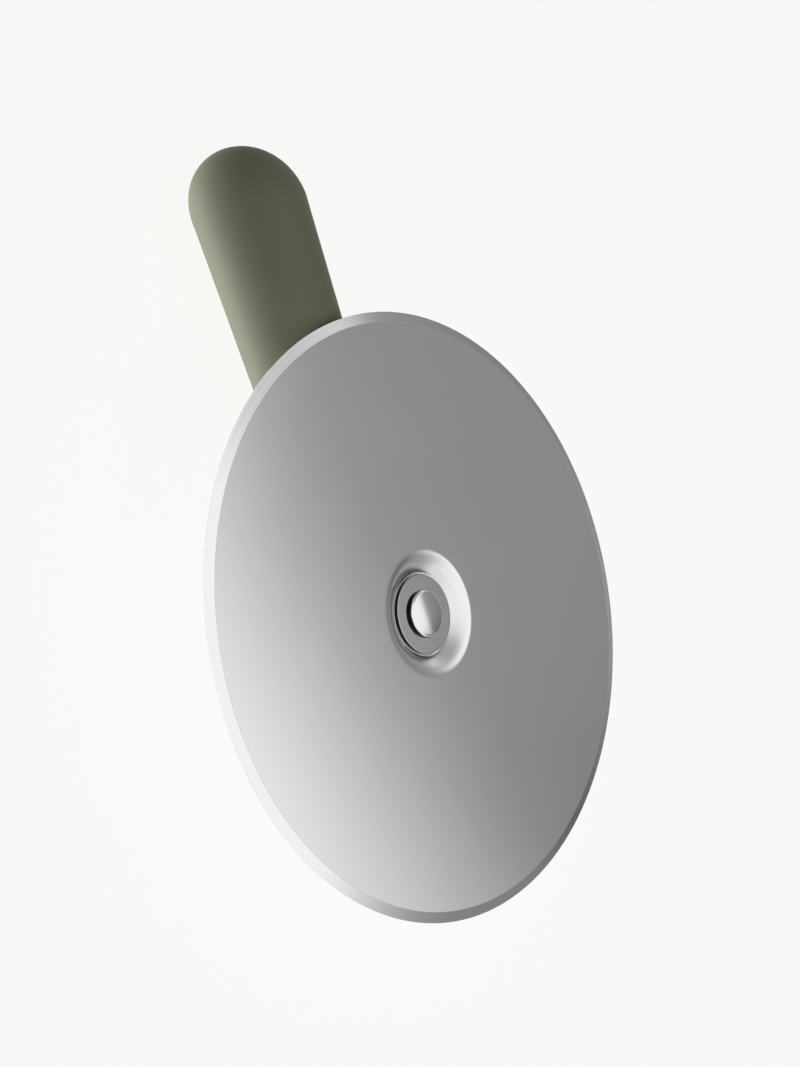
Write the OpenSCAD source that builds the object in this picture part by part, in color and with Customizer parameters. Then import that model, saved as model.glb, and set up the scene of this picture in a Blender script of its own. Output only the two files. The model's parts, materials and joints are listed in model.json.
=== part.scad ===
// Pizza cutter with a round steel wheel and a soft green handle behind it.
// The wheel turns on a flanged steel sleeve that one screw clamps to the handle.
// Every piece is drawn about the wheel: its axis is Z and its flat front face is z = 0.
// The whole tool is then laid on its back, with the line of the handle's back on z = 0.

/* [Wheel] */
// Diameter of the cutting wheel
wheel_d = 110; // [100:1:120]
// Thickness of the wheel's steel sheet
sheet_t = 1.2; // [1:0.1:1.4]
// Width of the ground bevel round the rim, the same on both sides
bevel_w = 1.9; // [1.2:0.1:2.6]
// Thickness left at the cutting edge
edge_t = 0.12; // [0.1:0.02:0.3]

/* [Pressed dish] */
// Diameter at which the flat face starts to sink into the dish
dish_d = 23.4; // [23.2:0.1:26]
// Depth of the dish's floor below the wheel's face
dish_depth = 2.15; // [2.05:0.05:2.4]
// Steepest angle of the dish's wall
dish_angle = 40; // [38:1:46]
// Radius of the upper bend, along the middle of the sheet
rim_bend = 3.4; // [2.8:0.1:3.6]
// Radius of the lower bend, along the middle of the sheet
floor_bend = 1.4; // [1.2:0.05:1.6]

/* [Bearing] */
// Diameter of the ring that shows in the dish, the sleeve's flange
ring_d = 14.4; // [14:0.1:14.6]
// How far the ring's face lies below the wheel's face
ring_set = 1.27; // [1.2:0.01:1.35]
// Outside diameter of the sleeve that the wheel turns on
barrel_d = 10.8; // [10.6:0.1:11]
// Running gap between sleeve and bush, on the radius
bearing_gap = 0.05; // [0.03:0.01:0.08]
// Wall of the plastic bush
bush_wall = 0.8; // [0.7:0.05:0.9]
// Diameter of the bush's flange behind the wheel
bush_flange_d = 15; // [14:0.1:15.2]
// Thickness of the bush's flange
bush_flange_t = 0.7; // [0.6:0.05:0.9]
// End play of the wheel on each side
thrust_gap = 0.04; // [0.02:0.01:0.08]
// Diameter of the front washer, a hair more than the ring
front_washer_d = 14.5; // [14.2:0.1:14.8]
// Thickness of the front washer
front_washer_t = 0.15; // [0.1:0.01:0.25]
// Diameter of the three washers behind the wheel
rear_washer_d = 15; // [14:0.1:15.4]
// Thickness of the flat rear washer
rear_washer_t = 0.3; // [0.25:0.05:0.4]
// Fitted height of the wave spring
wave_h = 0.55; // [0.5:0.05:0.8]
// Thickness of the wave spring's strip
wave_t = 0.2; // [0.15:0.05:0.3]
// Number of waves round the spring
wave_count = 3; // [2:1:5]
// Thickness of the seat washer on the handle
seat_washer_t = 0.5; // [0.4:0.1:0.8]
// Clearance of the washers round the sleeve, on the radius
washer_gap = 0.1; // [0.05:0.01:0.15]

/* [Cap and screw] */
// Diameter of the polished cap, whose rim lies on the ring's face
cap_d = 8.7; // [8.4:0.1:9.2]
// Height of the cap's straight side above the ring's face
cap_side_h = 0.85; // [0.7:0.05:0.85]
// Rise of the cap's dome above that side
cap_rise = 0.35; // [0.25:0.01:0.35]
// Diameter of the recess in the sleeve, for the cap's plug and the screw's head
recess_d = 8; // [7.8:0.1:8.2]
// Length of the cap's plug, which the recess grips
cap_plug_len = 0.8; // [0.6:0.05:0.9]
// Diameter of the axle screw
screw_d = 4; // [3.5:0.5:4]
// Diameter of the screw's head
screw_head_d = 7.2; // [6.8:0.1:7.6]
// Height of the screw's head
screw_head_h = 1.6; // [1.4:0.1:1.8]
// Width across the flats of the screw's hexagon socket
socket_af = 2.5; // [2:0.5:3]
// Depth of the socket
socket_depth = 1; // [0.8:0.1:1.2]
// Length of the screw under its head
screw_len = 10.8; // [9.5:0.1:11]
// Radial clearance of the screw in the sleeve
screw_gap = 0.1; // [0.05:0.01:0.2]
// Steel left under the screw's head
web_t = 1.35; // [1.2:0.05:1.45]
// Diameter of the sleeve's spigot, which the handle's core takes up
spigot_d = 7; // [6.6:0.1:7.4]
// Length of the spigot
spigot_len = 1.6; // [1.2:0.1:2]
// Diameter of the brass insert
insert_d = 6.4; // [6:0.1:6.6]
// Length of the insert
insert_len = 8.2; // [7.8:0.1:8.6]
// Depth of the three grooves that key the insert
insert_groove = 0.35; // [0.2:0.05:0.5]

/* [Handle] */
// Length from the wheel's axis to the handle's far end
grip_len = 89.6; // [86:0.2:95]
// Diameter of the handle where the wheel's axis crosses it
grip_hub_d = 16.25; // [15.8:0.05:17]
// Diameter of the handle where its far dome starts
grip_end_d = 20.85; // [20:0.05:22]
// Length of the far dome
end_dome = 12; // [10:0.5:14]
// How far the far dome leans back, away from the wheel's side
end_lean = 1.3; // [0:0.1:2]
// Length of the dome at the hub end
hub_dome = 9.5; // [8:0.5:11]
// How far past the wheel's axis the hub's dome starts
hub_flat = 2; // [1:0.5:3]
// Distance of the handle's centre line behind the wheel's face, at the axis
axis_drop = 11.06; // [10.8:0.02:11.6]
// Angle at which the handle leans away from the wheel
grip_lean = 1.375; // [1:0.025:1.8]
// Thickness of the soft skin
skin_t = 1.8; // [1.4:0.1:2]
// Diameter of the core's round collar, which carries the washers
collar_d = 15.4; // [15.2:0.1:15.7]
// Height of the collar, where the skin stops
collar_h = 2; // [1.6:0.1:2.4]
// Diameter of the round relief that clears the back of the dish
relief_d = 27; // [26:0.5:29]

/* [Inside the handle] */
// Width of the steel stiffening bar
bar_w = 6; // [5:0.5:6.5]
// Thickness of the bar
bar_t = 2; // [1.6:0.1:2.4]
// Length of the bar beyond the wheel's axis
bar_len = 66; // [60:1:68]
// Metal left round the insert at the bar's near end
bar_eye = 2.3; // [2:0.1:2.6]
// Gap round the bar in its slot
bar_gap = 0.1; // [0.05:0.01:0.15]
// Place of the first core screw along the handle
core_screw_near = 24; // [22:1:28]
// Place of the second core screw along the handle
core_screw_far = 56; // [52:1:58]
// Diameter of the core screws
core_screw_d = 2.9; // [2.5:0.1:3.1]
// Diameter of their heads
core_head_d = 5.4; // [5:0.1:5.6]
// Height of their heads
core_head_h = 1.7; // [1.4:0.1:1.8]
// Gap round the core screws' heads and through the bar
core_screw_gap = 0.2; // [0.1:0.05:0.3]
// How deep the core screws reach into each half
core_screw_grip = 4.4; // [4:0.1:4.6]
// Place of the two dowels along the handle
dowel_at = 40; // [36:1:44]
// Distance of each dowel from the handle's centre plane
dowel_side = 5; // [4.8:0.1:5.2]
// Diameter of the dowels
dowel_d = 2.4; // [2:0.1:2.5]
// Length of the dowels
dowel_len = 6; // [5:0.5:7]

/* [Hidden] */

steel_colour = [0.72, 0.72, 0.72];
polished_colour = [0.85, 0.85, 0.86];
ring_colour = [0.55, 0.55, 0.56];
olive_colour = [0.36, 0.38, 0.29];
core_colour = [0.25, 0.26, 0.22];
acetal_colour = [0.93, 0.92, 0.88];
brass_colour = [0.78, 0.62, 0.3];

$fn = 96;
hex_sides = 6;
grip_sides = 64;
dome_rings = 9;
bend_steps = 8;
wave_steps = 60;
// Overrun of every cut beyond the surface that it starts from
cut = 1;
// How far the joined or crossing parts of one solid reach into each other
overlap = 0.2;

wheel_r = wheel_d / 2;
bevel_h = (sheet_t - edge_t) / 2;
dish_r = dish_d / 2;
bend_sum = rim_bend + floor_bend;
// Straight stretch of the dish's wall between its two bends
wall_len = (dish_depth - bend_sum * (1 - cos(dish_angle))) / sin(dish_angle);
floor_r = dish_r - bend_sum * sin(dish_angle) - wall_len * cos(dish_angle);

// Heights behind the wheel's face, from the front to the back
floor_z = -dish_depth;
floor_back_z = floor_z - sheet_t;
front_washer_z = floor_z + thrust_gap;
ring_back_z = front_washer_z + front_washer_t;
bush_back_z = floor_back_z - bush_flange_t;
rear_washer_z = bush_back_z - thrust_gap;
wave_z = rear_washer_z - rear_washer_t;
seat_washer_z = wave_z - wave_h;
pad_z = seat_washer_z - seat_washer_t;
spigot_z = pad_z - spigot_len;
web_top_z = pad_z + web_t;
insert_end_z = spigot_z - insert_len;

barrel_r = barrel_d / 2;
bush_bore_r = barrel_r + bearing_gap;
bush_r = bush_bore_r + bush_wall;
washer_bore_r = barrel_r + washer_gap;
screw_r = screw_d / 2;
insert_r = insert_d / 2;

// The handle's cone, along its own centre line
dome_start = grip_len - end_dome;
grip_hub_r = grip_hub_d / 2;
grip_end_r = grip_end_d / 2;
grip_slope = (grip_end_r - grip_hub_r) / dome_start;
function grip_r(s) = grip_hub_r + grip_slope * s;

// The core is the same cone less the skin, with a short cone at each end inside the domes
cone_angle = atan(grip_slope);
core_end_share = 0.6;

// The tool lies on the line of the handle's back, where the leaning dome reaches a little lower
lie_angle = grip_lean + cone_angle;
lean_sag = sqrt(grip_end_r * grip_end_r + end_lean * end_lean) - grip_end_r;
back_height = axis_drop * cos(lie_angle) + grip_hub_r * cos(cone_angle) + lean_sag;
tip_x = grip_len * cos(cone_angle) + axis_drop * sin(lie_angle) + end_lean * sin(cone_angle);
rim_x = bevel_h * sin(lie_angle) - wheel_r * cos(lie_angle);
centre_x = (tip_x + rim_x) / 2;

// Lays what is drawn about the wheel on its back, with the middle of its length over the origin
module laid() {
    translate([-centre_x, 0, back_height])
        rotate([0, -lie_angle, 0])
            children();
}

// Draws along the handle's own centre line: X runs to the far end, and Z points to the wheel's side
module along_grip() {
    translate([0, 0, -axis_drop])
        rotate([0, grip_lean, 0])
            children();
}

// A plain round ring between two heights
module ring(outer_r, bore_r, top_z, bottom_z) {
    difference() {
        translate([0, 0, bottom_z])
            cylinder(r = outer_r, h = top_z - bottom_z);
        translate([0, 0, bottom_z - cut])
            cylinder(r = bore_r, h = top_z - bottom_z + 2 * cut);
    }
}

// Points along one bend, about its centre, from one angle to another
function bend_points(centre, r, from_angle, to_angle) =
    [for (i = [0 : bend_steps])
        let (a = from_angle + (to_angle - from_angle) * i / bend_steps)
        centre + r * [cos(a), sin(a)]];

// Half of the wheel's cross-section: flat sheet with its bevels, two bends, the wall and the floor
module blade_section() {
    upper_turn = [dish_r, -sheet_t / 2 - rim_bend];
    lower_turn = [floor_r, floor_z - sheet_t / 2 + floor_bend];
    half = sheet_t / 2;
    polygon(concat(
        [[bush_r, floor_z]],
        bend_points(lower_turn, floor_bend - half, -90, dish_angle - 90),
        bend_points(upper_turn, rim_bend + half, 90 + dish_angle, 90),
        [[wheel_r - bevel_w, 0], [wheel_r, -bevel_h], [wheel_r, -bevel_h - edge_t],
         [wheel_r - bevel_w, -sheet_t]],
        bend_points(upper_turn, rim_bend - half, 90, 90 + dish_angle),
        bend_points(lower_turn, floor_bend + half, dish_angle - 90, -90),
        [[bush_r, floor_back_z]]));
}

module blade() {
    color(steel_colour)
        laid()
            rotate_extrude()
                blade_section();
}

// Bush pressed into the wheel, flanged behind it
module blade_bush() {
    color(acetal_colour)
        laid()
            difference() {
                union() {
                    ring(bush_r, bush_bore_r, floor_z - thrust_gap, bush_back_z);
                    ring(bush_flange_d / 2, bush_bore_r, floor_back_z, bush_back_z);
                }
                translate([0, 0, bush_back_z - cut])
                    cylinder(r = bush_bore_r, h = dish_depth + sheet_t + 2 * cut);
            }
}

// Polished cap: a shallow dome with a straight side on the ring's face, and a plug in the recess
module cap() {
    cap_r = cap_d / 2;
    dome_r = (cap_r * cap_r + cap_rise * cap_rise) / (2 * cap_rise);
    color(polished_colour)
        laid() {
            intersection() {
                translate([0, 0, -ring_set + cap_side_h + cap_rise - dome_r])
                    sphere(r = dome_r);
                translate([0, 0, -ring_set])
                    cylinder(r = cap_r, h = cap_side_h + 2 * cap_rise);
            }
            translate([0, 0, -ring_set - cap_plug_len])
                cylinder(r = recess_d / 2, h = cap_plug_len + overlap);
        }
}

// Socket screw that clamps the sleeve to the insert in the handle
module axle_screw() {
    head_top = web_top_z + screw_head_h;
    color(steel_colour)
        laid()
            difference() {
                union() {
                    translate([0, 0, web_top_z])
                        cylinder(r = screw_head_d / 2, h = screw_head_h);
                    translate([0, 0, web_top_z - screw_len])
                        cylinder(r = screw_r, h = screw_len + overlap);
                }
                translate([0, 0, head_top - socket_depth])
                    cylinder(r = socket_af / 2 / cos(180 / hex_sides), h = socket_depth + cut, $fn = hex_sides);
            }
}

// Flanged sleeve: its flange is the ring in the dish and its barrel is the wheel's axle
module axle_sleeve() {
    color(ring_colour)
        laid()
            difference() {
                union() {
                    translate([0, 0, ring_back_z])
                        cylinder(r = ring_d / 2, h = -ring_set - ring_back_z);
                    translate([0, 0, pad_z])
                        cylinder(r = barrel_r, h = ring_back_z - pad_z + overlap);
                    translate([0, 0, spigot_z])
                        cylinder(r = spigot_d / 2, h = spigot_len + overlap);
                }
                translate([0, 0, web_top_z])
                    cylinder(r = recess_d / 2, h = -web_top_z + cut);
                translate([0, 0, spigot_z - cut])
                    cylinder(r = screw_r + screw_gap, h = spigot_len + web_t + 2 * cut);
            }
}

module front_washer() {
    color(acetal_colour)
        laid()
            ring(front_washer_d / 2, washer_bore_r, ring_back_z, front_washer_z);
}

module rear_washer() {
    color(acetal_colour)
        laid()
            ring(rear_washer_d / 2, washer_bore_r, rear_washer_z, wave_z);
}

// Wave spring that takes up the end play: a flat strip bent into even waves
module wave_spring() {
    outer_r = rear_washer_d / 2 - washer_gap;
    swing = (wave_h - wave_t) / 2;
    middle_z = wave_z - wave_h / 2;
    function wave_point(i, r, side) =
        let (turn = 360 * i / wave_steps)
        [r * cos(turn), r * sin(turn), middle_z + swing * cos(wave_count * turn) + side * wave_t / 2];
    spring_points = [for (i = [0 : wave_steps - 1])
        each [wave_point(i, washer_bore_r, -1), wave_point(i, outer_r, -1),
              wave_point(i, outer_r, 1), wave_point(i, washer_bore_r, 1)]];
    corners = 4;
    spring_faces = [for (i = [0 : wave_steps - 1], k = [0 : corners - 1])
        let (here = corners * i, there = corners * ((i + 1) % wave_steps), next = (k + 1) % corners)
        each [[here + k, there + k, here + next], [there + k, there + next, here + next]]];
    color(steel_colour)
        laid()
            polyhedron(points = spring_points, faces = spring_faces);
}

module seat_washer() {
    color(steel_colour)
        laid()
            ring(rear_washer_d / 2, washer_bore_r, seat_washer_z, pad_z);
}

// Brass insert with three grooves, held in the core under the spigot
module threaded_insert() {
    grooves = 3;
    pitch = insert_len / (2 * grooves + 1);
    color(brass_colour)
        laid()
            difference() {
                ring(insert_r, screw_r, spigot_z, insert_end_z);
                for (i = [1 : 2 : 2 * grooves])
                    ring(insert_r + cut, insert_r - insert_groove, spigot_z - i * pitch,
                         spigot_z - (i + 1) * pitch);
            }
}

// Plan of the bar, grown all round by a gap
module bar_plan(grow) {
    circle(r = insert_r + bar_eye + grow);
    translate([0, -bar_w / 2 - grow])
        square([bar_len - bar_w / 2, bar_w + 2 * grow]);
    translate([bar_len - bar_w / 2, 0])
        circle(r = bar_w / 2 + grow);
}

module insert_bore(extra) {
    translate([0, 0, insert_end_z])
        cylinder(r = insert_r + extra, h = insert_len + overlap);
}

module at_core_screws() {
    for (s = [core_screw_near, core_screw_far])
        translate([s, 0, 0])
            children();
}

module at_dowels() {
    for (side = [-1, 1])
        translate([dowel_at, side * dowel_side, 0])
            children();
}

// Steel bar that stiffens the handle, threaded on the insert
module stiffening_bar() {
    color(steel_colour)
        laid()
            difference() {
                along_grip()
                    difference() {
                        translate([0, 0, -bar_t / 2])
                            linear_extrude(bar_t)
                                bar_plan(0);
                        at_core_screws()
                            translate([0, 0, -bar_t / 2 - cut])
                                cylinder(r = core_screw_d / 2 + core_screw_gap, h = bar_t + 2 * cut);
                    }
                insert_bore(bar_gap);
            }
}

// Half section of the core, as radius and place along the handle
module core_profile() {
    hub_end = -hub_flat - core_end_share * hub_dome;
    far_end = dome_start + core_end_share * end_dome;
    polygon([[0, hub_end], [core_end_share * (grip_hub_r - skin_t), hub_end],
             [grip_r(-hub_flat) - skin_t, -hub_flat], [grip_end_r - skin_t, dome_start],
             [core_end_share * (grip_end_r - skin_t), far_end], [0, far_end]]);
}

// The whole core: a turned cone with a round boss and collar under the wheel, cut flat at the pad
module core_solid() {
    difference() {
        union() {
            along_grip()
                rotate([0, 90, 0])
                    rotate_extrude()
                        core_profile();
            translate([0, 0, -axis_drop])
                cylinder(r = collar_d / 2 - skin_t, h = axis_drop);
            translate([0, 0, pad_z - collar_h])
                cylinder(r = collar_d / 2, h = collar_h + overlap);
        }
        relief();
    }
}

// Round relief that clears the dish, its floor level with the pad
module relief() {
    translate([0, 0, pad_z])
        cylinder(r = relief_d / 2, h = -pad_z + cut);
}

// One half of the core, front (side = 1) or back (side = -1) of the handle's middle plane
module core_half(side) {
    block_h = grip_end_d;
    difference() {
        intersection() {
            core_solid();
            along_grip()
                translate([-grip_len, -grip_end_d, side > 0 ? 0 : -block_h])
                    cube([2 * grip_len, 2 * grip_end_d, block_h]);
        }
        insert_bore(0);
        translate([0, 0, spigot_z])
            cylinder(r = spigot_d / 2, h = spigot_len + cut);
        along_grip() {
            translate([0, 0, -bar_t / 2])
                linear_extrude(bar_t)
                    bar_plan(bar_gap);
            at_core_screws()
                translate([0, 0, -core_screw_grip - overlap])
                    cylinder(r = core_screw_d / 2, h = 2 * core_screw_grip + overlap);
            at_core_screws()
                translate([0, 0, -core_screw_grip - grip_end_d])
                    cylinder(r = core_head_d / 2 + core_screw_gap, h = grip_end_d);
            at_dowels()
                translate([0, 0, -dowel_len / 2])
                    cylinder(r = dowel_d / 2, h = dowel_len);
        }
    }
}

module core_front() {
    color(core_colour)
        laid()
            core_half(1);
}

module core_back() {
    color(core_colour)
        laid()
            core_half(-1);
}

// Two screws from the back that close the core
module core_screws() {
    color(steel_colour)
        laid()
            along_grip()
                at_core_screws()
                    translate([0, 0, -core_screw_grip - core_head_h]) {
                        cylinder(r = core_head_d / 2, h = core_head_h);
                        cylinder(r = core_screw_d / 2, h = 2 * core_screw_grip + core_head_h);
                    }
}

module core_dowels() {
    color(steel_colour)
        laid()
            along_grip()
                at_dowels()
                    translate([0, 0, -dowel_len / 2])
                        cylinder(r = dowel_d / 2, h = dowel_len);
}

// Outside of the handle: rings round the centre line, closed by a point at each end.
// A station is its place along the handle, its radius and how far it leans back.
hub_stations = [for (i = [1 : dome_rings])
    let (a = 90 * i / dome_rings, s = -hub_flat - hub_dome * cos(a))
    [s, grip_r(s) * sin(a), 0]];
end_stations = [for (i = [0 : dome_rings])
    let (a = 90 * i / (dome_rings + 1), s = dome_start + end_dome * sin(a))
    [s, grip_r(s) * cos(a), end_lean * sin(a)]];
stations = concat(hub_stations, end_stations);
grip_points = concat(
    [for (p = stations, j = [0 : grip_sides - 1])
        let (turn = 360 * j / grip_sides)
        [p[0], p[1] * cos(turn), p[1] * sin(turn) - p[2]]],
    [[-hub_flat - hub_dome, 0, 0], [grip_len, 0, -end_lean]]);
last_ring = grip_sides * (len(stations) - 1);
hub_point = grip_sides * len(stations);
end_point = hub_point + 1;
grip_faces = concat(
    [for (i = [0 : len(stations) - 2], j = [0 : grip_sides - 1])
        let (here = grip_sides * i, next = (j + 1) % grip_sides, there = here + grip_sides)
        each [[here + j, here + next, there + j], [there + j, here + next, there + next]]],
    [for (j = [0 : grip_sides - 1]) [hub_point, (j + 1) % grip_sides, j]],
    [for (j = [0 : grip_sides - 1]) [end_point, last_ring + j, last_ring + (j + 1) % grip_sides]]);

// Soft skin moulded round the core, which comes through it at the collar
module grip_skin() {
    color(olive_colour)
        laid()
            difference() {
                along_grip()
                    polyhedron(points = grip_points, faces = grip_faces);
                relief();
                core_solid();
            }
}

blade();
blade_bush();
cap();
axle_screw();
axle_sleeve();
front_washer();
rear_washer();
wave_spring();
seat_washer();
threaded_insert();
stiffening_bar();
core_front();
core_back();
core_screws();
core_dowels();
grip_skin();
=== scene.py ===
# %% [markdown]
# # Pizza cutter with a steel wheel and a soft green handle
#
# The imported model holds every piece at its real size: a bevelled steel wheel turns on a flanged
# sleeve, beside the end of a tapered handle. This script loads that model as a fixed frame and
# gives it its looks. The pieces that show from close by are modelled again, with finer curves and
# rounded edges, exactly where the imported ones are. The others keep their shape and get a finish.

# %% Load the frame
import json
import math

import bpy
from mathutils import Matrix, Vector


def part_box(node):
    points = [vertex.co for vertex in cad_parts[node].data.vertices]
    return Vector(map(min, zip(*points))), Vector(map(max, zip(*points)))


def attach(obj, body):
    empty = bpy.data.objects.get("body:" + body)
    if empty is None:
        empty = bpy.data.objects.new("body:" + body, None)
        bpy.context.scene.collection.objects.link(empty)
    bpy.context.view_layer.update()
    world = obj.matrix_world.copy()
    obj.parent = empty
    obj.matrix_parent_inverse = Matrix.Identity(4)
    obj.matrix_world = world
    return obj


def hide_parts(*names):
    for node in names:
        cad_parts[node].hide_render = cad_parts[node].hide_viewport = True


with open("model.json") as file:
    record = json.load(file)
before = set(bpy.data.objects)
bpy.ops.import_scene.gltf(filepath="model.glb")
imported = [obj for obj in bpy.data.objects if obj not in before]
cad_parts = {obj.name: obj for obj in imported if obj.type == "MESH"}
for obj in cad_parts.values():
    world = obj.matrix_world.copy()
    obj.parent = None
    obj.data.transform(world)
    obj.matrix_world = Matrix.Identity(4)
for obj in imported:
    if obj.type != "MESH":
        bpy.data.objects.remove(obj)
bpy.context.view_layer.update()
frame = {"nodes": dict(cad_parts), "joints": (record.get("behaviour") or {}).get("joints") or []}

MM = 0.001
print("nodes:", sorted(frame["nodes"]))

# %% [markdown]
# ## The wheel's own axes
#
# The tool lies on the back of its handle, so the wheel's axle leans a few degrees. It is easier
# to model a turned piece upright about the world's Z axis and to lay it down afterwards. The
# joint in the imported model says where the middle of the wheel's face is and how the axle leans,
# so nothing has to be measured by eye.

# %% Find the axle
axle = frame["joints"][0]
hub = Vector(axle["pos_m"])
axle_direction = Vector(axle["axis"])
lie_angle = math.atan2(-axle_direction.x, axle_direction.z)
wheel_axes = Matrix.Rotation(-lie_angle, 3, "Y")
print("the axle leans by", round(math.degrees(lie_angle), 3), "degrees")


# %% Helpers for placing a piece
def select_only(piece):
    """Selects one object, because an operator acts on all that is selected."""
    bpy.ops.object.select_all(action="DESELECT")
    piece.select_set(True)
    bpy.context.view_layer.objects.active = piece


def apply_place():
    """Puts the place, turn and size of the selected object into its mesh."""
    bpy.ops.object.transform_apply(location=True, rotation=True, scale=True)


def lay_on_axle(piece, place=(0, 0, 0), turn=0.0):
    """Moves a piece drawn about the world's axes to the wheel's, and applies its place to its mesh."""
    select_only(piece)
    piece.location = hub + wheel_axes @ Vector(place)
    piece.rotation_euler = (0, turn - lie_angle, 0)
    apply_place()


# %% [markdown]
# ## Camera
#
# The wheel's outline in the picture is an ellipse, and its width, its tilt and the place of the
# hub in it give the direction that the camera looks from. That direction is written here in the
# wheel's own axes: along the handle, across it, and out of the wheel's face. The lens comes from
# the perspective of the handle and the rim. A long lens from 43 cm keeps the wheel nearly flat.

# %% Set up the camera
picture_w = 800
picture_h = 1067
focal_px = 2420.6
hub_px = Vector((429.4, 613.15))
hub_depth = 434.7 * MM
seen_from = Vector((0.1414, 0.7394, 0.6583))
picture_up = Vector((0.9470, -0.2950, 0.1279))
sensor_long_side = 36.0
nearest_seen = 10 * MM

back = (wheel_axes @ seen_from).normalized()
right = (wheel_axes @ picture_up).cross(back).normalized()
up = back.cross(right)
camera_axes = Matrix((right, up, back)).transposed()
hub_in_picture = Vector((hub_px.x - picture_w / 2, picture_h / 2 - hub_px.y, -focal_px))
hub_in_view = hub_in_picture * hub_depth / focal_px

camera = bpy.data.objects.new("camera", bpy.data.cameras.new("camera"))
bpy.context.scene.collection.objects.link(camera)
camera.data.sensor_width = sensor_long_side
camera.data.lens = sensor_long_side * focal_px / picture_h
camera.data.clip_start = nearest_seen
camera.matrix_world = Matrix.Translation(hub - camera_axes @ hub_in_view) @ camera_axes.to_4x4()
bpy.context.scene.camera = camera
print("lens", round(camera.data.lens, 2), "mm, camera at", tuple(round(x, 4) for x in camera.location))

# %% [markdown]
# ## Turning a piece on a lathe
#
# The wheel, the ring and the cap are all round, so each is one half section swept about the axle.
# By hand that is: start from a single vertex, extrude it along the section, and spin the line a
# full turn. A sculpted or subdivided disc would never give such clean rings, and a stack of
# cylinders would have no rounded edges. The seam of the spin and the pole on the axis are closed
# by merging doubles, and the normals are made to point outwards after that.

# %% Lathe helpers
spin_steps = 256
weld_gap = 0.002 * MM
turned_smooth = math.radians(14)


def arc(centre, radius, start, end, steps):
    """Points along an arc of a section, as (radius, height) pairs. Angles are in degrees."""
    turns = [math.radians(start + (end - start) * i / steps) for i in range(steps + 1)]
    return [(centre[0] + radius * math.cos(a), centre[1] + radius * math.sin(a)) for a in turns]


def vertex_piece(name, point):
    """Adds a mesh that is a single vertex and leaves it open in edit mode."""
    bpy.ops.object.select_all(action="DESELECT")
    bpy.ops.mesh.primitive_plane_add(size=MM, location=point)
    piece = bpy.context.object
    piece.name = name
    bpy.ops.object.mode_set(mode="EDIT")
    bpy.ops.mesh.select_mode(type="VERT")
    bpy.ops.mesh.select_all(action="SELECT")
    bpy.ops.mesh.merge(type="CENTER")
    return piece


def close_mesh():
    """Merges what lies together, points the faces outwards and leaves edit mode."""
    bpy.ops.mesh.select_all(action="SELECT")
    bpy.ops.mesh.remove_doubles(threshold=weld_gap)
    bpy.ops.mesh.normals_make_consistent(inside=False)
    bpy.ops.object.mode_set(mode="OBJECT")


def turned(name, section):
    """Spins a closed half section, given in millimetres, about Z and lays the piece on the axle."""
    points = [Vector((r * MM, 0, z * MM)) for r, z in section]
    piece = vertex_piece(name, points[0])
    for here, there in zip(points, points[1:] + points[:1]):
        bpy.ops.mesh.extrude_vertices_move(TRANSFORM_OT_translate={"value": there - here})
    bpy.ops.mesh.select_all(action="SELECT")
    bpy.ops.mesh.spin(steps=spin_steps, angle=math.tau, center=(0, 0, 0), axis=(0, 0, 1))
    close_mesh()
    apply_place()
    bpy.ops.object.shade_smooth_by_angle(angle=turned_smooth)
    lay_on_axle(piece)
    print(name, "has", len(piece.data.polygons), "faces")
    return piece


# %% [markdown]
# ## The wheel
#
# The real wheel is a disc of 1.2 mm stainless sheet. Its middle is pressed into a shallow dish,
# and its rim is ground on both sides to a bevel that ends in a thin land. The section follows the
# sheet: floor of the dish, lower bend, upper bend, flat face, bevel, and back along the other
# side. Extra points just outside the bends and the bevel line keep the flat face truly flat,
# because smooth shading would otherwise spread the bend's normals over the whole disc.

# %% Sizes of the wheel, in millimetres
low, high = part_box("blade")
wheel_r = (high.y - low.y) / 2 / MM
sheet_t = 1.2
bevel_w = 1.9
edge_t = 0.12
bevel_h = (sheet_t - edge_t) / 2
dish_r = 11.7
dish_depth = 2.15
dish_angle = 40
rim_bend = 3.4
floor_bend = 1.4
bush_r = 6.25
bend_steps = 18
guard = 0.25

half_sheet = sheet_t / 2
bend_out = math.sin(math.radians(dish_angle))
bend_in = math.cos(math.radians(dish_angle))
bend_sum = rim_bend + floor_bend
wall_len = (dish_depth - bend_sum * (1 - bend_in)) / bend_out
floor_r = dish_r - bend_sum * bend_out - wall_len * bend_in
upper_turn = (dish_r, -half_sheet - rim_bend)
lower_turn = (floor_r, -dish_depth - half_sheet + floor_bend)
print("the dish's floor has a radius of", round(floor_r, 2), "mm and its wall is", round(wall_len, 2), "mm")


# %% Model the wheel
def sheet_side(shift):
    """One side of the sheet from the dish's floor to the bevel, shifted from the middle of the sheet."""
    level = shift - half_sheet
    return (
        [(bush_r, level - dish_depth), (floor_r - guard, level - dish_depth)]
        + arc(lower_turn, floor_bend - shift, -90, dish_angle - 90, bend_steps)
        + arc(upper_turn, rim_bend + shift, 90 + dish_angle, 90, bend_steps)
        + [(dish_r + guard, level), (wheel_r - bevel_w - guard, level), (wheel_r - bevel_w, level)]
    )


front = sheet_side(half_sheet)
rear = sheet_side(-half_sheet)
land = [(wheel_r, -bevel_h), (wheel_r, -bevel_h - edge_t)]
cutting_wheel = turned("cutting_wheel", front + land + rear[::-1])
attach(cutting_wheel, "wheel")
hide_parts("blade")

# %% [markdown]
# ## The ring
#
# The flat ring that stands in the dish is the flange of the steel sleeve on which the wheel
# turns. On the lathe its edge gets a light break, and that tiny round is what draws the thin
# bright line round the ring. It is part of the section here, as a short arc, so that it stays even
# all the way round. A guard point beside the arc keeps the flat face flat, as on the wheel.

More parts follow.
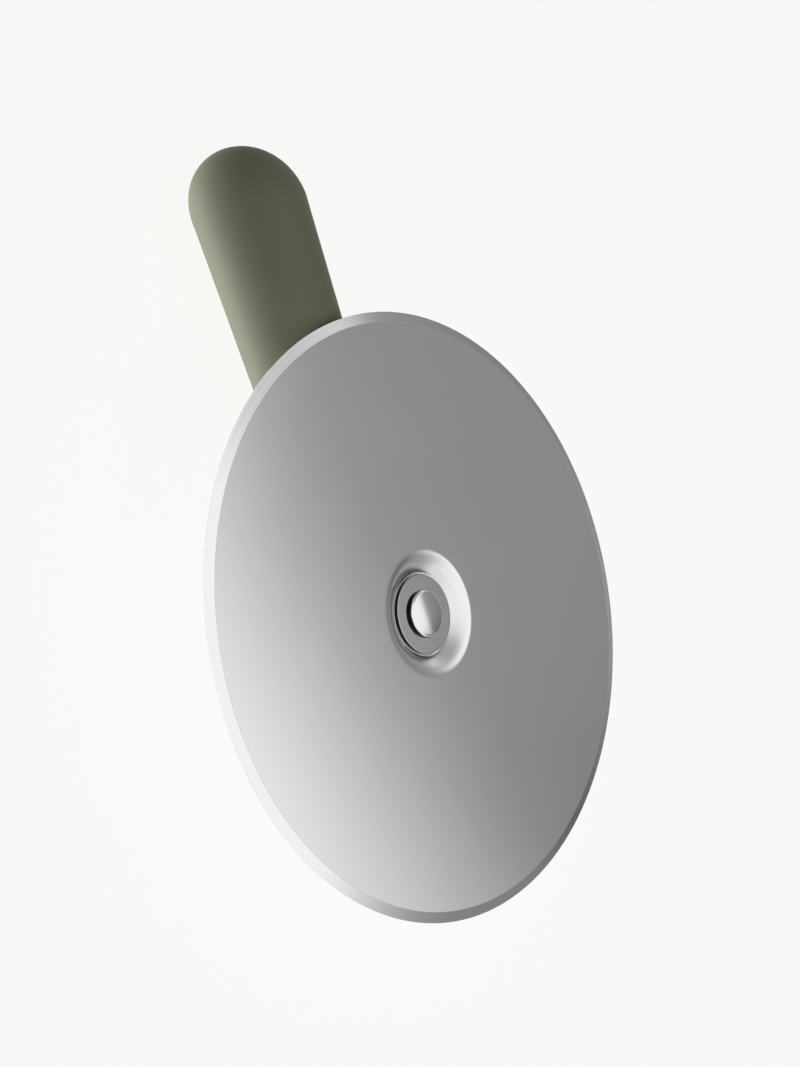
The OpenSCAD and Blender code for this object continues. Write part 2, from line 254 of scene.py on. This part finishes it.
# %% Model the ring and its sleeve, in millimetres
low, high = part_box("axle_sleeve")
ring_r = (high.y - low.y) / 2 / MM
ring_face = -1.27
ring_back = -1.96
recess_r = 4.0
recess_floor = -4.09
barrel_r = 5.4
pad_level = -5.44
spigot_r = 3.5
spigot_end = -7.04
screw_bore_r = 2.1
ring_break = 0.06
round_steps = 8

ring_section = (
    [(screw_bore_r, spigot_end), (screw_bore_r, recess_floor), (recess_r, recess_floor)]
    + [(recess_r, ring_face), (ring_r - ring_break - guard, ring_face)]
    + arc((ring_r - ring_break, ring_face - ring_break), ring_break, 90, 0, round_steps)
    + [(ring_r, ring_back), (barrel_r, ring_back), (barrel_r, pad_level)]
    + [(spigot_r, pad_level), (spigot_r, spigot_end)]
)
flanged_sleeve = turned("flanged_sleeve", ring_section)
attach(flanged_sleeve, "handle")
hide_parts("axle_sleeve")

# %% [markdown]
# ## The cap
#
# A small polished cap hides the screw. It is a shallow part of a sphere with a rounded shoulder and
# a straight side that stands on the ring, and a plug below holds it in the sleeve. A sphere
# primitive has its rows of faces in the wrong places for so shallow a dome, so the dome is an arc
# in the section too, dense enough to mirror the studio without facets.

# %% Model the cap, in millimetres
low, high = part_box("cap")
cap_r = (high.y - low.y) / 2 / MM
cap_side = 0.85
cap_rise = 0.35
cap_shoulder = 0.7
# The outer rim of the cap, this wide, is painted black, a painted dark reflection.
cap_painted_black_rim = 0.12
plug_r = recess_r
plug_len = 0.8
dome_steps = 28

cap_edge = ring_face + cap_side
cap_painted_black_from = cap_r - cap_painted_black_rim
dome_r = (cap_r**2 + cap_rise**2) / (2 * cap_rise)
dome_centre = cap_edge + cap_rise - dome_r
round_r = cap_r - cap_shoulder
round_level = dome_centre + math.sqrt((dome_r - cap_shoulder) ** 2 - round_r**2)
edge_angle = math.degrees(math.atan2(round_level - dome_centre, round_r))

cap_section = (
    arc((0, dome_centre), dome_r, 90, edge_angle, dome_steps)
    + arc((round_r, round_level), cap_shoulder, edge_angle, 0, round_steps)[1:]
    + [(cap_r, ring_face), (plug_r, ring_face), (plug_r, ring_face - plug_len), (0, ring_face - plug_len)]
)
domed_cap = turned("domed_cap", cap_section)
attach(domed_cap, "handle")
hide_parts("cap")

# %% [markdown]
# ## The handle's skin
#
# The handle is a round bar that grows thicker towards its far end, where it closes in a dome
# that leans back a little. It could be spun like the wheel, but the lean would be lost, so a
# circle is extruded from station to station instead and resized at each one. Solidify then gives
# it the thickness of the moulded skin, and a boolean cuts the round relief that clears the dish
# and the hole for the collar of the hard core.

# %% Sizes of the handle, in millimetres
grip_len = 89.6
grip_hub_r = 16.25 / 2
grip_end_r = 20.85 / 2
end_dome = 12
end_lean = 1.3
hub_dome = 9.5
hub_flat = 2
axis_drop = 11.06
grip_lean = math.radians(1.375)
skin_t = 1.8
grip_sides = 128
dome_rings = 24
body_rings = 12

dome_start = grip_len - end_dome
body_len = dome_start + hub_flat
grip_slope = (grip_end_r - grip_hub_r) / dome_start
print("the handle grows by", round(2 * grip_slope * dome_start, 2), "mm from the axle to its far dome")


# %% Rings along the handle
def station(place, share, lean):
    """A ring of the handle: its place along the centre line, its radius and how far it leans back."""
    return place, (grip_hub_r + grip_slope * place) * share, lean


quarter_turn = [math.pi / 2 * i / dome_rings for i in range(dome_rings + 1)]
hub_stations = [station(-hub_flat - hub_dome * math.cos(a), math.sin(a), 0) for a in quarter_turn[1:]]
body_stations = [station(-hub_flat + body_len * i / body_rings, 1, 0) for i in range(1, body_rings)]
end_stations = [
    station(dome_start + end_dome * math.sin(a), math.cos(a), end_lean * math.sin(a))
    for a in quarter_turn[:-1]
]
stations = hub_stations + body_stations + end_stations
print(len(stations), "rings along the handle")


# %% Extrude the handle from ring to ring
def extrude_to(step):
    """Extrudes what is selected and moves it by a step, in metres."""
    bpy.ops.mesh.extrude_region_move(TRANSFORM_OT_translate={"value": step})


place, radius, _ = stations[0]
bpy.ops.object.select_all(action="DESELECT")
bpy.ops.mesh.primitive_circle_add(
    vertices=grip_sides, radius=radius * MM, location=(place * MM, 0, 0), rotation=(0, math.pi / 2, 0)
)
grip = bpy.context.object
grip.name = "soft_skin"
bpy.ops.object.mode_set(mode="EDIT")
bpy.ops.mesh.select_all(action="SELECT")
for (s0, r0, z0), (s1, r1, z1) in zip(stations, stations[1:]):
    extrude_to(((s1 - s0) * MM, 0, (z0 - z1) * MM))
    bpy.ops.transform.resize(value=(1, r1 / r0, r1 / r0), center_override=(s1 * MM, 0, -z1 * MM))
last_place, _, last_lean = stations[-1]
extrude_to(((grip_len - last_place) * MM, 0, (last_lean - end_lean) * MM))
bpy.ops.mesh.merge(type="CENTER")
bpy.ops.mesh.select_all(action="DESELECT")
bpy.ops.mesh.select_non_manifold()
extrude_to(((-hub_flat - hub_dome - place) * MM, 0, 0))
bpy.ops.mesh.merge(type="CENTER")
close_mesh()
apply_place()
lay_on_axle(grip, place=(0, 0, -axis_drop * MM), turn=grip_lean)
print("soft_skin has", len(grip.data.polygons), "faces before its wall")


# %% Helpers for the wall and the cuts
cutter_sides = 160


def apply_modifier(piece, kind, **settings):
    """Adds a modifier with its settings and applies it."""
    select_only(piece)
    modifier = piece.modifiers.new(kind.lower(), kind)
    for setting, value in settings.items():
        setattr(modifier, setting, value)
    bpy.ops.object.modifier_apply(modifier=modifier.name)


def cut_round(piece, radius, top, bottom):
    """Cuts a round pocket about the axle between two heights behind the wheel's face."""
    bpy.ops.object.select_all(action="DESELECT")
    bpy.ops.mesh.primitive_cylinder_add(
        vertices=cutter_sides,
        radius=radius * MM,
        depth=(top - bottom) * MM,
        location=(0, 0, (top + bottom) / 2 * MM),
    )
    cutter = bpy.context.object
    apply_place()
    lay_on_axle(cutter)
    apply_modifier(piece, "BOOLEAN", operation="DIFFERENCE", object=cutter, solver="EXACT")
    bpy.data.objects.remove(cutter)


# %% Give the handle its wall and cut the relief and the collar's hole
relief_r = 13.5
collar_r = 7.7
collar_h = 2.0
overrun = 1.0
skin_smooth = math.radians(30)

apply_modifier(grip, "SOLIDIFY", thickness=skin_t * MM, offset=-1)
cut_round(grip, relief_r, overrun, pad_level)
cut_round(grip, collar_r, pad_level + overrun, pad_level - collar_h)
select_only(grip)
bpy.ops.object.shade_smooth_by_angle(angle=skin_smooth)
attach(grip, "handle")
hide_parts("grip_skin")
print("soft_skin has", len(grip.data.polygons), "faces")

# %% [markdown]
# ## Writing shader maths as expressions
#
# A procedural finish is a small formula, such as "lines that depend on the distance from the
# axle". In the shader editor each plus and times is a Math node, and a formula soon fills the
# screen. The class below wraps one socket of a material, so that ordinary arithmetic on it adds
# those Math nodes, and one method adds any other node.


# %% A value that does arithmetic
class Wire:
    """A value in a material. Arithmetic on it adds Math nodes."""

    def __init__(self, finish, socket):
        self.finish = finish
        self.socket = socket

    def maths(self, operation, first, second):
        return self.finish.node("ShaderNodeMath", {"operation": operation}, {0: first, 1: second})

    def __add__(self, other):
        return self.maths("ADD", self, other)

    __radd__ = __add__

    def __sub__(self, other):
        return self.maths("SUBTRACT", self, other)

    def __rsub__(self, other):
        return self.maths("SUBTRACT", other, self)

    def __mul__(self, other):
        return self.maths("MULTIPLY", self, other)

    __rmul__ = __mul__

    def __pow__(self, other):
        return self.maths("POWER", self, other)

    def beside(self, output):
        """Another output of the node that this value comes from."""
        return Wire(self.finish, self.socket.node.outputs[output])


# %% The nodes of a material
class Finish:
    """The nodes of one material or world."""

    def __init__(self, owner):
        owner.use_nodes = True
        self.name = owner.name
        self.tree = owner.node_tree
        self.tree.nodes.clear()

    def node(self, kind, settings=None, inputs=None, output=0):
        """Adds a node, sets it up, fills its sockets with values or wires, and returns one output."""
        made = self.tree.nodes.new(kind)
        for name, value in (settings or {}).items():
            setattr(made, name, value)
        for name, value in (inputs or {}).items():
            if isinstance(value, Wire):
                self.tree.links.new(value.socket, made.inputs[name])
            else:
                made.inputs[name].default_value = value
        return Wire(self, made.outputs[output]) if made.outputs else None


def new_finish(name):
    """A material with cleared nodes, as (material, finish)."""
    material = bpy.data.materials.new(name)
    return material, Finish(material)


# %% [markdown]
# Every pattern is read at a place on the piece. The round pieces need theirs about the axle, so a
# Mapping node turns the piece's Object coordinates to the wheel's own axes, and the distance from
# the axle follows from two of them. A change from one part of a piece to the next is a soft step.

# %% Patterns
soft_detail = 2.0
cloudy_detail = 3.0


def noise(finish, where, scale, detail=soft_detail):
    """Soft cloudy noise from 0 to 1 at a number of clouds per metre."""
    return finish.node("ShaderNodeTexNoise", {}, {"Vector": where, "Scale": scale, "Detail": detail})


def rings(finish, radius, per_metre, wander):
    """Fine marks that run round the axle, from 0 to 1, at a number per metre. They wander a little."""
    return finish.node(
        "ShaderNodeTexNoise",
        {"noise_dimensions": "1D"},
        {"W": radius * per_metre + wander, "Scale": 1.0, "Detail": soft_detail},
    )


def soft_step(finish, value, start, end):
    """Rises softly from 0 to 1 as a value goes from a start to an end."""
    return finish.node(
        "ShaderNodeMapRange",
        {"interpolation_type": "SMOOTHSTEP"},
        {"Value": value, "From Min": start, "From Max": end},
    )


def about_axle(finish):
    """Object coordinates turned to the wheel's own axes, with their origin at the hub."""
    here = finish.node("ShaderNodeTexCoord", {}, {}, "Object")
    return finish.node(
        "ShaderNodeMapping",
        {"vector_type": "TEXTURE"},
        {"Vector": here, "Location": hub, "Rotation": (0, -lie_angle, 0)},
    )


def axle_radius(finish, where):
    """Distance from the axle, in metres."""
    x = finish.node("ShaderNodeSeparateXYZ", {}, {"Vector": where}, "X")
    y = x.beside("Y")
    return (x * x + y * y) ** 0.5


# %% Colour, relief and the shader
def shade(finish, value, first, second):
    """Mixes two colours by a value from 0 to 1. The first may be a wire."""
    start = first if isinstance(first, Wire) else (*first, 1)
    return finish.node(
        "ShaderNodeMix",
        {"data_type": "RGBA"},
        {"Factor": value, "A": start, "B": (*second, 1)},
        "Result",
    )


def bump(finish, height, depth):
    """A normal that follows a height from 0 to 1, whose full depth is in metres."""
    sockets = {"Height": height, "Distance": depth, "Strength": 1.0}
    return finish.node("ShaderNodeBump", {}, sockets, "Normal")


def surface(finish, **sockets):
    """The Principled shader that ends a material. Underscores in names stand for spaces."""
    inputs = {name.replace("_", " "): value for name, value in sockets.items()}
    shader = finish.node("ShaderNodeBsdfPrincipled", {}, inputs)
    finish.node("ShaderNodeOutputMaterial", {}, {"Surface": shader})
    print(finish.name, "has", len(finish.tree.nodes), "nodes")


# %% [markdown]
# ## Finish of the wheel
#
# The sheet is satin stainless: metal with a soft, even sheen and hardly any visible grain. The
# press has drawn the wall of the dish, which leaves it duller than the flat metal on both sides of
# it. The bevel was ground with the wheel turning, so it carries fine lines that run round it. All
# of this comes from one material, because it is one piece: the distance from the axle tells the
# wall, the face and the bevel apart. A picture of brushed metal would tile and smear there. The
# lines are a noise stretched along the circle, by reading it at a place made of little but the
# radius.

# %% Values of the satin steel
light_satin = (0.76, 0.76, 0.76)
dark_satin = (0.72, 0.72, 0.725)
satin_cloud_scale = 45
face_roughness = 0.10
cloud_roughness = 0.02
bevel_roughness = 0.03
wall_roughness = 0.24
lines_per_metre = 4200
line_wander = 1.2
wander_scale = 60
line_depth = 0.012 * MM
bevel_blur = 0.05
foot_blur = 0.3
head_blur = 0.9


# %% Satin steel with a ground bevel
def past(finish, value, edge, blur):
    """Rises softly from 0 to 1 where a length in metres passes an edge in millimetres."""
    return soft_step(finish, value, (edge - blur) * MM, (edge + blur) * MM)


satin_steel, finish = new_finish("satin_steel")
where = about_axle(finish)
radius = axle_radius(finish, where)
on_bevel = past(finish, radius, wheel_r - bevel_w, bevel_blur)
past_foot = past(finish, radius, floor_r + foot_blur, foot_blur)
past_head = past(finish, radius, dish_r - head_blur, head_blur)
on_wall = past_foot - past_head
lines = rings(finish, radius, lines_per_metre, line_wander * noise(finish, where, wander_scale))
cloud = noise(finish, where, satin_cloud_scale, cloudy_detail)
roughness = face_roughness + cloud_roughness * cloud
surface(
    finish,
    Base_Color=shade(finish, cloud, dark_satin, light_satin),
    Metallic=1.0,
    Roughness=roughness + bevel_roughness * on_bevel + wall_roughness * on_wall,
    Normal=bump(finish, lines * on_bevel, line_depth),
)
cutting_wheel.data.materials.append(satin_steel)

# %% [markdown]
# ## Finish of the ring, the cap and the hidden steel
#
# The ring and the cap are polished steel. Their sides are painted black, a painted dark reflection
# that draws dark crescents beside them. Their faint marks are rings, as they come from a lathe.
# Screws, washers, the bar and the dowels are plain machined steel in slightly different greys. One
# function makes them all. The depth of the turning marks is a value, and so is the radius past
# which the painted dark reflection starts.

# %% Turned and polished steel
# Painted dark reflection: the black that the sides of the ring and the cap are painted with.
painted_reflection_black = (0.012, 0.012, 0.012)
painted_black_blur = 0.02
marks_per_metre = 9000
mark_wander_scale = 90
steel_cloud_scale = 240
steel_cloud_roughness = 0.04
steel_cloud_tone = 0.95


def turned_steel(name, tone, roughness, mark_depth, painted_black_past=None):
    """Metal with fine marks that run round the axle, painted black past a radius in millimetres, a painted
    dark reflection.
    """
    material, finish = new_finish(name)
    where = about_axle(finish)
    radius = axle_radius(finish, where)
    marks = rings(finish, radius, marks_per_metre, noise(finish, where, mark_wander_scale))
    cloud = noise(finish, where, steel_cloud_scale, cloudy_detail)
    colour = shade(finish, cloud, tuple(steel_cloud_tone * c for c in tone), tone)
    if painted_black_past:
        # Painted dark reflection: the metal is painted black past a radius, with a soft edge.
        colour = shade(finish, past(finish, radius, painted_black_past, painted_black_blur), colour, painted_reflection_black)
    surface(
        finish,
        Base_Color=colour,
        Metallic=1.0,
        Roughness=roughness + steel_cloud_roughness * cloud,
        Normal=bump(finish, marks, mark_depth),
    )
    return material


# %% Make the metals
# The ring's rounded edge and side and the cap's rim are painted black, a painted dark reflection.
ring_steel = turned_steel(
    "ring_steel",
    tone=(0.68, 0.68, 0.685),
    roughness=0.10,
    mark_depth=0.0015 * MM,
    painted_black_past=ring_r - ring_break - painted_black_blur,
)
polished_steel = turned_steel(
    "polished_steel",
    tone=(0.74, 0.74, 0.745),
    roughness=0.12,
    mark_depth=0.0002 * MM,
    painted_black_past=cap_painted_black_from,
)
machined_steel = turned_steel(
    "machined_steel", tone=(0.56, 0.56, 0.57), roughness=0.3, mark_depth=0.003 * MM
)
rolled_steel = turned_steel(
    "rolled_steel", tone=(0.50, 0.51, 0.53), roughness=0.35, mark_depth=0.002 * MM
)
insert_brass = turned_steel(
    "insert_brass", tone=(0.75, 0.56, 0.26), roughness=0.28, mark_depth=0.003 * MM
)
flanged_sleeve.data.materials.append(ring_steel)
domed_cap.data.materials.append(polished_steel)

# %% [markdown]
# ## Finish of the handle and the plastics
#
# The skin is a smooth, matt, soft-touch coat in olive green. A plain colour with a rough surface
# looks like painted chalk, so it gets three quiet details: a cloudy change of tone of a few per
# cent, a very fine grain in the surface, and a little change in roughness, as handling leaves.
# The core and the bearing pieces are moulded plastic with a coarser grain.

# %% Moulded plastics and the soft skin
tone_cloud_scale = 70
cloud_share = 0.7
grain_share = 0.3
handled_roughness = 0.06


def moulded(name, dark, light, roughness, grain, grain_depth, specular=0.5):
    """Plastic or rubber with a cloudy tone and a moulded grain, at a number of grains per metre."""
    material, finish = new_finish(name)
    here = finish.node("ShaderNodeTexCoord", {}, {}, "Object")
    cloud = noise(finish, here, tone_cloud_scale, cloudy_detail)
    fine = noise(finish, here, grain)
    surface(
        finish,
        Base_Color=shade(finish, cloud_share * cloud + grain_share * fine, dark, light),
        Roughness=roughness + handled_roughness * cloud,
        Specular_IOR_Level=specular,
        Normal=bump(finish, fine, grain_depth),
    )
    return material


# %% Make the plastics
soft_touch = moulded(
    "soft_touch",
    dark=(0.160, 0.175, 0.112),
    light=(0.185, 0.200, 0.128),
    roughness=0.6,
    grain=5200,
    grain_depth=0.004 * MM,
    specular=0.25,
)
core_plastic = moulded(
    "core_plastic",
    dark=(0.10, 0.11, 0.075),
    light=(0.13, 0.14, 0.10),
    roughness=0.5,
    grain=2500,
    grain_depth=0.01 * MM,
)
bearing_plastic = moulded(
    "bearing_plastic",
    dark=(0.76, 0.75, 0.71),
    light=(0.84, 0.83, 0.79),
    roughness=0.4,
    grain=3000,
    grain_depth=0.004 * MM,
)
grip.data.materials.append(soft_touch)

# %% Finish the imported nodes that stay
node_finishes = {
    "blade_bush": bearing_plastic,
    "front_washer": bearing_plastic,
    "rear_washer": bearing_plastic,
    "wave_spring": rolled_steel,
    "seat_washer": machined_steel,
    "axle_screw": machined_steel,
    "threaded_insert": insert_brass,
    "stiffening_bar": rolled_steel,
    "core_front": core_plastic,
    "core_back": core_plastic,
    "core_screws": machined_steel,
    "core_dowels": machined_steel,
}
for name, material in node_finishes.items():
    mesh = frame["nodes"][name].data
    mesh.materials.clear()
    mesh.materials.append(material)
print(len(node_finishes), "packed nodes finished")

# %% [markdown]
# ## Floor
#
# The tool lies on a pale table, and the picture's background is one even warm white. The floor's
# material therefore shows mostly its own pale colour, to the camera and in the steel, and a small
# share of ordinary shading, so that the tool still leaves a faint shadow. Light that has already
# left a matt surface finds the table plain and matt, or its glow would come back from the steel and
# wipe the shadow out. The table lets light from below pass, as a light table does.

# %% Lay the floor
background = (0.956, 0.939, 0.922)
floor_size = 6.0
shading_share = 0.07
glow_share = 1.04
first_bounce = 1.0

bpy.ops.object.select_all(action="DESELECT")
bpy.ops.mesh.primitive_plane_add(size=floor_size, location=(0, 0, 0))
floor = bpy.context.object
floor.name = "floor"
floor.visible_shadow = False
floor.visible_diffuse = False
material, finish = new_finish("pale_table")
glow_tone = tuple(glow_share * c for c in background)
glow = finish.node("ShaderNodeEmission", {}, {"Color": (*glow_tone, 1), "Strength": 1.0})
matt = finish.node("ShaderNodeBsdfDiffuse", {}, {"Color": (*background, 1)})
depth = finish.node("ShaderNodeLightPath", {}, {}, "Diffuse Depth")
bounced = depth.maths("MINIMUM", depth, first_bounce)
matt_share = shading_share + (1 - shading_share) * bounced
mixed = finish.node("ShaderNodeMixShader", {}, {0: matt_share, 1: glow, 2: matt})
finish.node("ShaderNodeOutputMaterial", {}, {"Surface": mixed})
floor.data.materials.append(material)
print("the floor is", floor_size, "m wide and has", len(finish.tree.nodes), "nodes")

# %% [markdown]
# ## Light
#
# Two kinds of surface need two things from a studio. Matt plastic adds up the light from the whole
# half room in front of it, so only the strength and the side of the big lamps count. Metal shows
# the room itself, so each of its faces is as bright as what it mirrors: here a white tent with dark
# cards in it. The world's shader paints both by direction, in the wheel's own axes. Rays that left a
# glossy surface see the tent and its cards, and the others see the lamps.

# %% Helpers for painting by direction
world = bpy.data.worlds.new("studio")
bpy.context.scene.world = world
studio = Finish(world)
facing = studio.node("ShaderNodeTexCoord", {}, {}, "Generated")


def spot(direction, inner, outer):
    """A soft round spot in the world: 1 within the inner angle from its middle, 0 past the outer."""
    middle = (wheel_axes @ Vector(direction)).normalized()
    nearness = studio.node(
        "ShaderNodeVectorMath", {"operation": "DOT_PRODUCT"}, {0: facing, 1: middle}, "Value"
    )
    return soft_step(studio, nearness, math.cos(math.radians(outer)), math.cos(math.radians(inner)))


# %% [markdown]
# The lamps: one large lamp shines up through the table from the side of the camera, and gives the
# handle its bright edge. A wide soft one hangs above.

# %% Light for the matt surfaces
fill_light = 0.05
lamps = [
    # direction, inner and outer angle in degrees, strength
    ((0.12, 0.45, -0.88), 24, 35, 7.2),  # below, on the camera's side
    ((-0.25, 0.22, 1.0), 0, 50, 1.35),  # above
]
lamp_light = fill_light
for direction, inner, outer, strength in lamps:
    lamp_light = lamp_light + strength * spot(direction, inner, outer)
print(len(lamps), "lamps")

# %% [markdown]
# The tent: everything is white but for dark cards. The first stands on the far side and is what the
# flat face mirrors next to the hub. Its edge is the soft line that crosses the disc, and the second
# darkens its middle. The next two stand beside it, towards the wheel's free rim and towards the
# handle's end, and give the bevel and the dish their dark ends. The last three stand behind the
# camera, so that the disc isn't a blank white from the other sides.

# %% What the metal mirrors
tent_white = 1.19
dark_cards = [
    # direction, inner and outer angle in degrees, share of the light that it takes
    ((-0.084, -1.0, 0.321), 24.3, 30.7, 0.72),  # far side
    ((-0.084, -1.0, 0.300), 4, 24, 0.18),  # its darker middle
    ((-1.05, -1.0, 0.57), 5, 34, 0.77),  # towards the wheel's free rim
    ((1.75, -1.0, 1.35), 16, 38, 0.66),  # towards the handle's end
    ((-0.25, 1.0, 0.30), 16, 36, 0.62),  # behind the camera
    ((1.50, 1.0, 0.75), 8, 38, 0.60),  # behind it, towards the handle's end
    ((-1.90, 0.9, 0.50), 8, 36, 0.60),  # behind it, towards the free rim
]
tent_light = tent_white
for direction, inner, outer, share in dark_cards:
    tent_light = tent_light * (1 - share * spot(direction, inner, outer))
print(len(dark_cards), "dark cards")

# %% Put the world together
white = (1, 1, 1, 1)
to_camera = studio.node("ShaderNodeLightPath", {}, {}, "Is Camera Ray")
from_gloss = to_camera.beside("Is Glossy Ray")
lit = studio.node("ShaderNodeBackground", {}, {"Color": white, "Strength": lamp_light})
mirrored = studio.node("ShaderNodeBackground", {}, {"Color": white, "Strength": tent_light})
backdrop = studio.node("ShaderNodeBackground", {}, {"Color": (*background, 1), "Strength": 1.0})
around = studio.node("ShaderNodeMixShader", {}, {0: from_gloss, 1: lit, 2: mirrored})
seen = studio.node("ShaderNodeMixShader", {}, {0: to_camera, 1: around, 2: backdrop})
studio.node("ShaderNodeOutputWorld", {}, {"Surface": seen})
print("the studio has", len(studio.tree.nodes), "nodes")

# %% Set the colour view
bpy.context.scene.view_settings.view_transform = "Standard"
